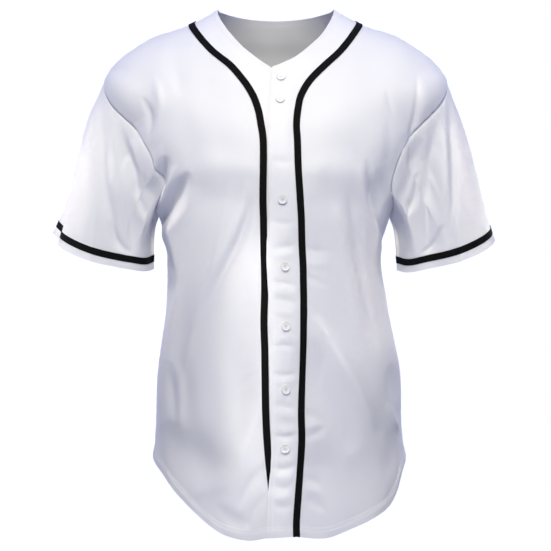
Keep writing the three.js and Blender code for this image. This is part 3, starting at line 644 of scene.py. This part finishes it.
def sleeve_points(side, hole, cuff):
    """Cubics from the armhole to the cuff ring, with rows close together at the hem."""
    count = len(hole) - 1
    angle = math.pi * (1 - 2 * np.arange(count + 1) / count)
    ends, spoke = cuff_ring(angle, cuff)
    run = ends - hole
    length = np.linalg.norm(run, axis=1)[:, None]
    bulge = SLEEVE_UNDER + (cuff["swell"] - SLEEVE_UNDER) * smooth((np.cos(angle) + 0.9) / 1.5)
    leave = unit(unit(run) + unit(spoke) * bulge[:, None])
    b, c = hole + leave * length * SLEEVE_START, ends - unit(run) * length * SLEEVE_END
    above = np.concatenate([[0, 0.005, 0.011, 0.02], np.linspace(0.03, 1, SLEEVE_ROWS)])
    t = np.concatenate([above[:, None] * (1 - STRIPE_TOP / length.T),
                        1 - SLEEVE_HEM_ROWS[:, None] / length.T])[..., None]
    p = ((1 - t) ** 3 * hole + 3 * t * (1 - t) ** 2 * b + 3 * t**2 * (1 - t) * c + t**3 * ends)
    t, angle = t[..., 0], np.broadcast_to(angle, t.shape[:2])
    if side > 0:
        p, t, angle = p[:, ::-1], t[:, ::-1], angle[:, ::-1]
    n = grid_normals(p, ring=True)
    height = fold_height(p, n, SLEEVE_FOLDS) * smooth(t / SLEEVE_PLAIN)
    return p + n * height[..., None], np.stack([angle * SLEEVE_ROUND, t * SLEEVE_LONG], -1)


def armhole_ring(lines, side, steps):
    """Points all round an armhole, closed at the armpit."""
    behind = armhole(side, BACK_ARMHOLE, True, steps["high"])
    points = body_point(np.concatenate([lines["outside"][len(steps["low"]) - 1:], behind[::-1][1:]]))
    points[-1] = points[0]
    return points


# Low relief along sewn edges: d is the distance from the edge and s the way along it.

def arc(points, axis):
    """The distance along each row or column of a grid of points."""
    steps = np.linalg.norm(np.diff(points, axis=axis), axis=2)
    return np.concatenate([np.zeros_like(np.take(steps, [0], axis)), np.cumsum(steps, axis)], axis)


def seam_relief(d, s):
    """A groove at the seam, the seam allowance under the cloth and small puckers."""
    allowance = 0.6 * smooth((d - 1) / 2.5) * (1 - smooth((d - 6) / 4))
    puckers = 0.22 * np.sin(s / 2.6 + 2 * np.sin(s / 13)) * swell(d, 3, 5)
    return allowance + puckers - 0.8 * swell(d, 0, 1.7)


def groove_relief(d, s):
    """The sleeve's side of the armhole seam."""
    return -0.6 * swell(d, 0, 2) + 0.3 * np.sin(s / 4) * swell(d, 5, 6)


def hem_relief(d, s):
    """The turned-up hem, double up to its stitching, with slight waves."""
    waves = 0.35 * np.sin(s / 8 + 2 * np.sin(s / 31)) * swell(d, 9, 9)
    return 1.2 * (1 - smooth((d - 12.5) / 1.8)) + waves - 0.9 * swell(d, 11.5, 1.3)


def cuff_relief(d, s):
    """The sleeve hem: double, and turned slightly outwards below the stripe."""
    flare = 1.4 * np.clip(1 - d / 10, 0, 1)
    return flare + 0.5 * (1 - smooth((d - 9) / 1.5)) + 0.15 * np.sin(s / 6) * swell(d, 0, 8)


def edge_relief(d, s):
    """A folded edge with a row of stitches beside it."""
    puckers = 0.15 * np.sin(s / 4 + np.sin(s / 17)) * swell(d, 3, 3)
    return 0.35 * (1 - smooth((d - 6) / 3)) + puckers - 0.25 * swell(d, 3, 0.9)


def plain(d, s):
    return np.zeros_like(d)


def with_relief(points, left=plain, right=plain, bottom=plain, top=plain, ring=False):
    """The points moved out by the relief of each edge."""
    across, up = arc(points, 1), arc(points, 0)
    height = (left(across, up[:, :1]) + right(across[:, -1:] - across, up[:, -1:])
              + bottom(up, across[:1]) + top(up[-1:] - up, across[-1:]))
    return points + grid_normals(points, ring) * height[..., None]


def neck_and_shoulders(d, s):
    """The back's top edge: shoulder seams with the plain neckline between them."""
    whole = s[:, -1:]
    on_neck = smooth((s - 0.32 * whole) / 20) * smooth((0.68 * whole - s) / 20)
    return on_neck * edge_relief(d, s) + (1 - on_neck) * seam_relief(d, s)


FRONT_STEPS = divisions(low=118, high=150, panel=84, band=29, neck=9)
BACK_STEPS = divisions(low=74, high=100, panel=50, band=13, neck=41)
SLEEVE_ROWS = 84
SLEEVE_HEM_ROWS = np.array([18.5, 16.5, 14.5, 12.5, STRIPE_BOTTOM, 9.8, 9, 7.5, 6, 4.5, 3, 1.5, 0])
STRIPE_ROWS = slice(SLEEVE_ROWS + 3, SLEEVE_ROWS + 9)  # from the stripe's top to its bottom

LINES = {"left": front_lines(1, FRONT_STEPS), "right": front_lines(-1, FRONT_STEPS)}
GRIDS = {}
for side in ("left", "right"):
    left = side == "left"
    panel, panel_uv = front_piece(LINES[side], FRONT_STEPS, left, band=False)
    band, band_uv = front_piece(LINES[side], FRONT_STEPS, left, band=True)
    sewn = {"right" if left else "left": seam_relief, "bottom": hem_relief, "top": seam_relief}
    free = {"left" if left else "right": edge_relief, "bottom": hem_relief, "top": seam_relief}
    band_points = body_point(band)
    waves = WAVE_HEIGHT * fold_sum(PLACKET_WAVES, band_points)
    band_points = band_points + grid_normals(band_points) * waves[..., None]
    band_points = with_relief(band_points, **free)
    GRIDS[f"{side}_front_panel"] = (with_relief(body_point(panel), **sewn), panel_uv)
    GRIDS[f"{side}_front_band"] = (
        lap_raise(band_points, LAP_OVER if left else LAP_UNDER, left), band_uv)
    sign = 1 if left else -1
    hole = armhole_ring(LINES[side], sign, FRONT_STEPS)
    sleeve, sleeve_uv = sleeve_points(sign, hole, CUFF_LEFT if left else CUFF_RIGHT)
    sleeve = with_relief(sleeve, bottom=groove_relief, top=cuff_relief, ring=True)
    sleeve[:, -1] = sleeve[:, 0]
    GRIDS[f"{side}_sleeve"] = (sleeve, sleeve_uv)
back, back_uv = back_panel(*(front_lines(side, BACK_STEPS) for side in (1, -1)), BACK_STEPS)
GRIDS["back_panel"] = (with_relief(body_point(back), left=seam_relief, right=seam_relief,
                                   bottom=hem_relief, top=neck_and_shoulders), back_uv)


# Materials.

def new_material(name, color, roughness, **sockets):
    material = bpy.data.materials.new(name)
    material.use_nodes = True
    shader = material.node_tree.nodes["Principled BSDF"]
    shader.inputs["Base Color"].default_value = (*color, 1)
    shader.inputs["Roughness"].default_value = roughness
    for key, value in sockets.items():
        shader.inputs[key.replace("_", " ")].default_value = value
    return material, shader


def node(material, kind, **values):
    made = material.node_tree.nodes.new(kind)
    for key, value in values.items():
        if hasattr(made, key):
            setattr(made, key, value)
        else:
            made.inputs[key].default_value = value
    return made


def link(material, out, into):
    material.node_tree.links.new(out, into)


def add_bump(material, shader, height, strength, distance):
    bump = node(material, "ShaderNodeBump", Strength=strength, Distance=distance)
    link(material, height, bump.inputs["Height"])
    link(material, bump.outputs["Normal"], shader.inputs["Normal"])


def unevenly(material, **values):
    """Soft spots all over the object."""
    place = node(material, "ShaderNodeTexCoord")
    noise = node(material, "ShaderNodeTexNoise", **values)
    link(material, place.outputs["Object"], noise.inputs["Vector"])
    return noise.outputs["Fac"]


def bands(material, direction, **values):
    """Fine bands along the cloth."""
    uv = node(material, "ShaderNodeUVMap", uv_map="cloth")
    wave = node(material, "ShaderNodeTexWave", wave_type="BANDS", bands_direction=direction, **values)
    link(material, uv.outputs["UV"], wave.inputs["Vector"])
    return wave.outputs["Fac"]


def knit_material(name, light, dark):
    """White knit: fine wales and courses, with a faint change of shade."""
    material, shader = new_material(name, light, 0.5, Specular_IOR_Level=0.8,
                                    Sheen_Weight=0.1, Sheen_Roughness=0.4)
    both = node(material, "ShaderNodeMath", operation="MULTIPLY")
    wales, courses = ("X", 30.0, 0.6), ("Y", 24.0, 0.8)
    for i, (direction, scale, distortion) in enumerate((wales, courses)):
        wave = bands(material, direction, Scale=scale, Distortion=distortion, Detail=2.0)
        link(material, wave, both.inputs[i])
    add_bump(material, shader, both.outputs[0], 0.25, 0.0004)
    cloud = unevenly(material, Scale=9.0, Detail=3.0)
    shade = node(material, "ShaderNodeMixRGB", Color1=(*dark, 1), Color2=(*light, 1))
    link(material, cloud, shade.inputs["Fac"])
    link(material, shade.outputs["Color"], shader.inputs["Base Color"])
    return material


def braid_material():
    """Black flat braid with fine slanting ribs."""
    material, shader = new_material("black_braid", (0.003, 0.003, 0.004), 0.8,
                                    Specular_IOR_Level=0.12)
    ribs = bands(material, "DIAGONAL", Scale=26.0, Distortion=0.4)
    add_bump(material, shader, ribs, 0.5, 0.0003)
    return material


def plain_material(name, color, roughness, bump_scale, **sockets):
    """A finish with a faint unevenness."""
    material, shader = new_material(name, color, roughness, **sockets)
    add_bump(material, shader, unevenly(material, Scale=bump_scale, Detail=2.0), 0.1, 0.0003)
    return material


KNIT = knit_material("white_knit", (0.775, 0.787, 0.85), (0.75, 0.762, 0.83))
# The front bands are folded double, so less light passes through them.
DOUBLE_KNIT = knit_material("white_double_knit", (0.81, 0.822, 0.88), (0.79, 0.802, 0.87))
BRAID = braid_material()
BUTTON = plain_material("pearl_button", (0.84, 0.84, 0.86), 0.25, 300.0, Coat_Weight=0.3)
THREAD = plain_material("white_thread", (0.78, 0.78, 0.82), 0.6, 900.0)
BLACK_THREAD = plain_material("black_thread", (0.012, 0.012, 0.015), 0.6, 900.0)


def finish_piece(obj, material, nodes=()):
    obj.data.materials.clear()
    obj.data.materials.append(material)
    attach(obj, "root")
    if nodes:
        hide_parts(*nodes)


# Flat size of each piece in metres as cut, and the share of that rectangle that it fills.
CUTS = {
    "back_panel": (0.62, 0.80, 0.73), "left_front_panel": (0.28, 0.79, 0.63),
    "right_front_panel": (0.28, 0.79, 0.66), "left_front_band": (0.12, 0.83, 0.37),
    "right_front_band": (0.11, 0.83, 0.32), "left_sleeve": (0.47, 0.26, 0.64),
    "right_sleeve": (0.47, 0.26, 0.65),
}
for piece_name, (width, length, share) in CUTS.items():
    points, uv = GRIDS[piece_name]
    piece = cloth_object(piece_name + "_cloth", points, uv, ring=piece_name.endswith("sleeve"))
    knit = DOUBLE_KNIT if "band" in piece_name else KNIT
    finish_piece(piece, knit, [piece_name])


# Braid and stripes.

def row_offset(points, distance, last=False):
    """Points at a distance from one long edge, measured square to the edge."""
    p = points[:, ::-1] if last else points
    length = arc(p, 1)
    along = unit(np.gradient(p[:, 0], axis=0))
    row = unit(p[:, 3] - p[:, 0])
    slant = np.sqrt(np.clip(1 - np.sum(along * row, 1) ** 2, 0.2, 1))
    want = distance / slant
    return np.array([[np.interp(w, l, q[:, k]) for k in range(3)] for w, l, q in zip(want, length, p)])


def braid_points(panel, band, panel_last, band_last):
    """Lines of points along the seam, from the panel's side to the band's."""
    outward = np.array([BRAID_HALF, 4.7, 3.4, 1.7])
    panel_side = [row_offset(panel, d, panel_last) for d in outward]
    band_side = [row_offset(band, d, band_last) for d in outward[::-1]]
    middle = panel[:, -1 if panel_last else 0]
    return np.stack(panel_side + [middle] + band_side, 1)


def tape_object(name, points, ring=False):
    """A flat tape with softened edges, lying on the points."""
    n = grid_normals(points, ring)
    length = arc(points, 0)
    across = np.broadcast_to(np.linspace(0, 1, points.shape[1]) * 2 * BRAID_HALF, length.shape)
    if ring:
        across = np.broadcast_to(run_length(points[0]), length.shape)
    obj = grid_object(name, points + n * (BRAID_LIFT + BRAID_THICK),
                      np.stack([across, length], -1), ring)
    apply_modifier(obj, "SOLIDIFY", thickness=BRAID_THICK * MM, offset=-1, use_rim=True)
    round_edges(obj, 0.22, 2, 50)
    soften(obj, 60)
    return obj


def surface(piece):
    return GRIDS[piece][0]


def finish_tape(tape, node_name):
    finish_piece(tape, BRAID, [node_name])


BRAIDS = {}
for side in ("left", "right"):
    left = side == "left"
    rows = braid_points(surface(f"{side}_front_panel"), surface(f"{side}_front_band"), not left, left)
    BRAIDS[side] = rows[:, ::-1] if left else rows
    finish_tape(tape_object(f"{side}_front_braid_tape", BRAIDS[side]), f"{side}_front_braid")
for side in ("left", "right"):
    tape = tape_object(f"{side}_stripe_tape", surface(f"{side}_sleeve")[STRIPE_ROWS], ring=True)
    finish_tape(tape, f"{side}_sleeve_stripe")


# Buttons.

def button_mesh():
    """One button at the origin, facing +Z: a rounded rim round a dished middle with four holes."""
    deselect()
    bpy.ops.mesh.primitive_cylinder_add(vertices=48, radius=BUTTON_RADIUS * MM,
                                        depth=BUTTON_THICK * MM,
                                        location=(0, 0, BUTTON_THICK / 2 * MM))
    obj = active()
    apply_transform()
    edit(True)
    bpy.ops.mesh.select_all(action="DESELECT")
    edit(False)
    for face in obj.data.polygons:
        face.select = face.normal.z > 0.9
    edit(True)
    bpy.ops.mesh.inset(thickness=BUTTON_RIM * MM)
    bpy.ops.mesh.inset(thickness=0.5 * MM, depth=-BUTTON_DISH * MM)
    bpy.ops.mesh.inset(thickness=0.6 * MM, depth=-0.1 * MM)
    edit(False)
    for x, y in ((1, 1), (1, -1), (-1, 1), (-1, -1)):
        cut_hole(obj, x * HOLE_PLACE * MM, y * HOLE_PLACE * MM)
    round_edges(obj, 0.3, 3, 45)
    soften(obj, 40)
    return obj


def cut_hole(obj, x, y):
    deselect()
    bpy.ops.mesh.primitive_cylinder_add(vertices=14, radius=HOLE_RADIUS * MM, depth=8 * MM,
                                        location=(x, y, 0))
    cutter = active()
    apply_transform()
    apply_modifier(obj, "BOOLEAN", operation="DIFFERENCE", object=cutter, solver="EXACT")
    bpy.data.objects.remove(cutter)


def surface_at(points, x, z):
    """The grid point nearest to x and z seen from the front, and the normal there."""
    gap = (points[..., 0] - x) ** 2 + (points[..., 2] - z) ** 2
    j, i = np.unravel_index(np.argmin(gap), gap.shape)
    n = grid_normals(points)[j, i]
    slope = -(n[0] * (x - points[j, i, 0]) + n[2] * (z - points[j, i, 2])) / n[1]
    return np.array([x, points[j, i, 1] + slope, z]), n


def turned_to(n, p):
    """A matrix that takes the +Z of a flat piece to a normal and its +Y upwards."""
    z = Vector(n).normalized()
    x = Vector((0, 0, 1)).cross(z).normalized()
    turn = Matrix((x, z.cross(x), z)).transposed().to_4x4()
    return Matrix.Translation(Vector(p) * MM) @ turn


def copy_of(model, name, matrix):
    made = add_object(name, model.data.copy())
    made.data.transform(matrix)
    return made


MODEL_BUTTON = button_mesh()
for number, (x, z) in enumerate(BUTTONS, 1):
    p, n = surface_at(surface("left_front_band"), x, z)
    disc = copy_of(MODEL_BUTTON, f"button_{number}_disc", turned_to(n, p + n * BUTTON_LIFT))
    finish_piece(disc, BUTTON, [f"button_{number}"])
bpy.data.objects.remove(MODEL_BUTTON)


# Stitching.

def stitch_rows(name, paths, material, long=2.3, pitch=3.2, thick=0.5):
    """Small spindles laid end to end along paths of (points, normals)."""
    deselect()
    bpy.ops.mesh.primitive_uv_sphere_add(segments=6, ring_count=5, radius=0.5)
    model = active()
    co = np.array([v.co[:] for v in model.data.vertices])
    co = co[:, [2, 0, 1]] * [long, thick, thick]
    faces = [tuple(f.vertices) for f in model.data.polygons]
    bpy.data.objects.remove(model)
    verts, polys = [], []
    for points, normals in paths:
        length = run_length(points)
        at = np.arange(pitch / 2, length[-1], pitch)
        p, n = (np.stack([np.interp(at, length, v[:, k]) for k in range(3)], -1)
                for v in (points, normals))
        n, t = unit(n), unit(np.gradient(p, axis=0))
        for a, b, c, d in zip(p + n * thick * 0.25, t, np.cross(n, t), n):
            base = len(verts) * len(co)
            verts.append(a + co[:, :1] * b + co[:, 1:2] * c + co[:, 2:] * d)
            polys.extend(tuple(k + base for k in f) for f in faces)
    mesh = bpy.data.meshes.new(name)
    mesh.from_pydata((np.concatenate(verts) * MM).tolist(), [], polys)
    obj = add_object(name, mesh)
    soften(obj, 180)
    finish_piece(obj, material)


def hem_path(points, distance, last=False):
    """A path at a distance above a hem."""
    n = grid_normals(points)
    return row_offset(points.transpose(1, 0, 2), distance, last), (n[-4] if last else n[4])


def edge_path(points, distance, last=False):
    """A path at a distance from the front edge of a band."""
    n = grid_normals(points)
    return row_offset(points, distance, last), (n[:, -3] if last else n[:, 3])


def on_tape(points, column):
    n = grid_normals(points)
    lifted = points + n * (BRAID_LIFT + BRAID_THICK)
    return lifted[:, column], n[:, column]


HEMMED = ("left_front_panel", "right_front_panel", "back_panel", "left_front_band")
body_hems = [hem_path(surface(piece), d) for piece in HEMMED for d in HEM_STITCHES]
sleeve_hems = [hem_path(surface(piece), d, last=True)
               for piece in ("left_sleeve", "right_sleeve") for d in CUFF_STITCHES]
lap_edges = [edge_path(surface(f"{side}_front_band"), EDGE_STITCHES, side == "right")
             for side in ("left", "right")]
for name, paths in (("hem", body_hems), ("sleeve_hem", sleeve_hems), ("front_edge", lap_edges)):
    stitch_rows(name + "_stitching", paths, THREAD)
stitch_rows("braid_stitching", [on_tape(BRAIDS[side], c) for side in ("left", "right") for c in (1, -2)],
            BLACK_THREAD, long=1.8, pitch=2.6, thick=0.4)


# Room, light and camera.

def room():
    """A pale floor that rises into a round wall, so no edge shows behind the jersey."""
    profile = [(4.0, 0), (5.2, 0.35), (5.9, 1.2), (6.1, 2.4), (6.1, 5.5)]
    deselect()
    bpy.ops.mesh.primitive_circle_add(vertices=64, radius=profile[0][0], fill_type="NGON",
                                      location=(0, 0, FLOOR * MM))
    floor = active()
    floor.name = "floor"
    apply_transform()
    edit(True)
    bpy.ops.mesh.select_all(action="SELECT")
    bpy.ops.mesh.select_mode(type="EDGE")
    bpy.ops.mesh.region_to_loop()
    for (r0, z0), (r1, z1) in zip(profile, profile[1:]):
        bpy.ops.mesh.extrude_edges_move(TRANSFORM_OT_translate={"value": (0, 0, z1 - z0)})
        scale = r1 / r0
        bpy.ops.transform.resize(value=(scale, scale, 1), center_override=(0, 0, 0))
    edit(False)
    apply_modifier(floor, "SUBSURF", levels=2, render_levels=2)
    soften(floor, 60)
    floor.data.materials.append(plain_material("pale_floor", (0.76, 0.77, 0.79), 0.9, 4.0))


def grey_card(name, side, finish):
    """A grey card out of the frame, which keeps light off one side of the body."""
    bpy.ops.mesh.primitive_cube_add(size=1, location=(side * 0.74, -0.2, -0.86))
    card = active()
    card.name, card.scale = name, (0.01, 0.9, 1.16)
    apply_transform()
    card.data.materials.append(finish)


def area_light(name, place, size, power, color, aim=(0, 0, -0.38), spread=180):
    data = bpy.data.lights.new(name, "AREA")
    data.size, data.energy, data.color, data.spread = size, power, color, math.radians(spread)
    light = add_object(name, data)
    light.location = place
    light.rotation_euler = (Vector(aim) - Vector(place)).to_track_quat("-Z", "Y").to_euler()
    return light


def camera():
    data = bpy.data.cameras.new("camera")
    data.sensor_width, data.lens = 36, 36 * CAMERA_DISTANCE / FRAME_WIDTH
    data.clip_end = 60
    obj = add_object("camera", data)
    obj.location = (0, -CAMERA_DISTANCE * MM, CAMERA_HEIGHT * MM)
    obj.rotation_euler = (math.pi / 2, 0, 0)
    bpy.context.scene.camera = obj


def sky(color, strength):
    world = bpy.data.worlds.new("studio")
    bpy.context.scene.world = world
    world.use_nodes = True
    background = world.node_tree.nodes["Background"]
    background.inputs["Color"].default_value = (*color, 1)
    background.inputs["Strength"].default_value = strength


WARM, PALE, WALL_WHITE = (1.0, 0.935, 0.62), (1.0, 0.95, 0.8), (1.0, 0.98, 0.93)

room()
CARD = plain_material("grey_card", (0.06, 0.06, 0.065), 0.9, 4.0)
grey_card("left_card", 1, CARD)
grey_card("right_card", -1, CARD)
sky((0.15, 0.25, 1.0), 0.6)
bpy.context.scene.view_settings.view_transform = "Standard"
area_light("key", (0.02, -2.285, 1.40), 1.0, 65, WARM, (0, 0, -0.3))
area_light("high_left", (-1.47, -0.85, 2.56), 1.0, 9, WARM)
area_light("high_right", (1.47, -0.85, 2.56), 1.0, 13, WARM)
area_light("right_sleeve_light", (-2.58, 0, 0.54), 0.08, 0.09, PALE, (-0.31, 0, -0.25), 7.5)
area_light("left_sleeve_light", (2.58, 0, 0.54), 0.08, 0.058, PALE, (0.31, 0, -0.29), 8)
belly_light = area_light("belly_light", (-1.1, -2.5, 0.5), 0.03, 0.032, (1.0, 0.95, 0.78),
                         (-0.025, -0.12, -0.51), 2.7)
belly_light.data.shape, belly_light.data.size_y = "RECTANGLE", 0.34
for name, side in (("backdrop_left", -1), ("backdrop_right", 1)):
    area_light(name, (side * 2.4, 2.2, 1.8), 1.8, 112, WALL_WHITE, (side * 0.6, 6, -1.0))
camera()
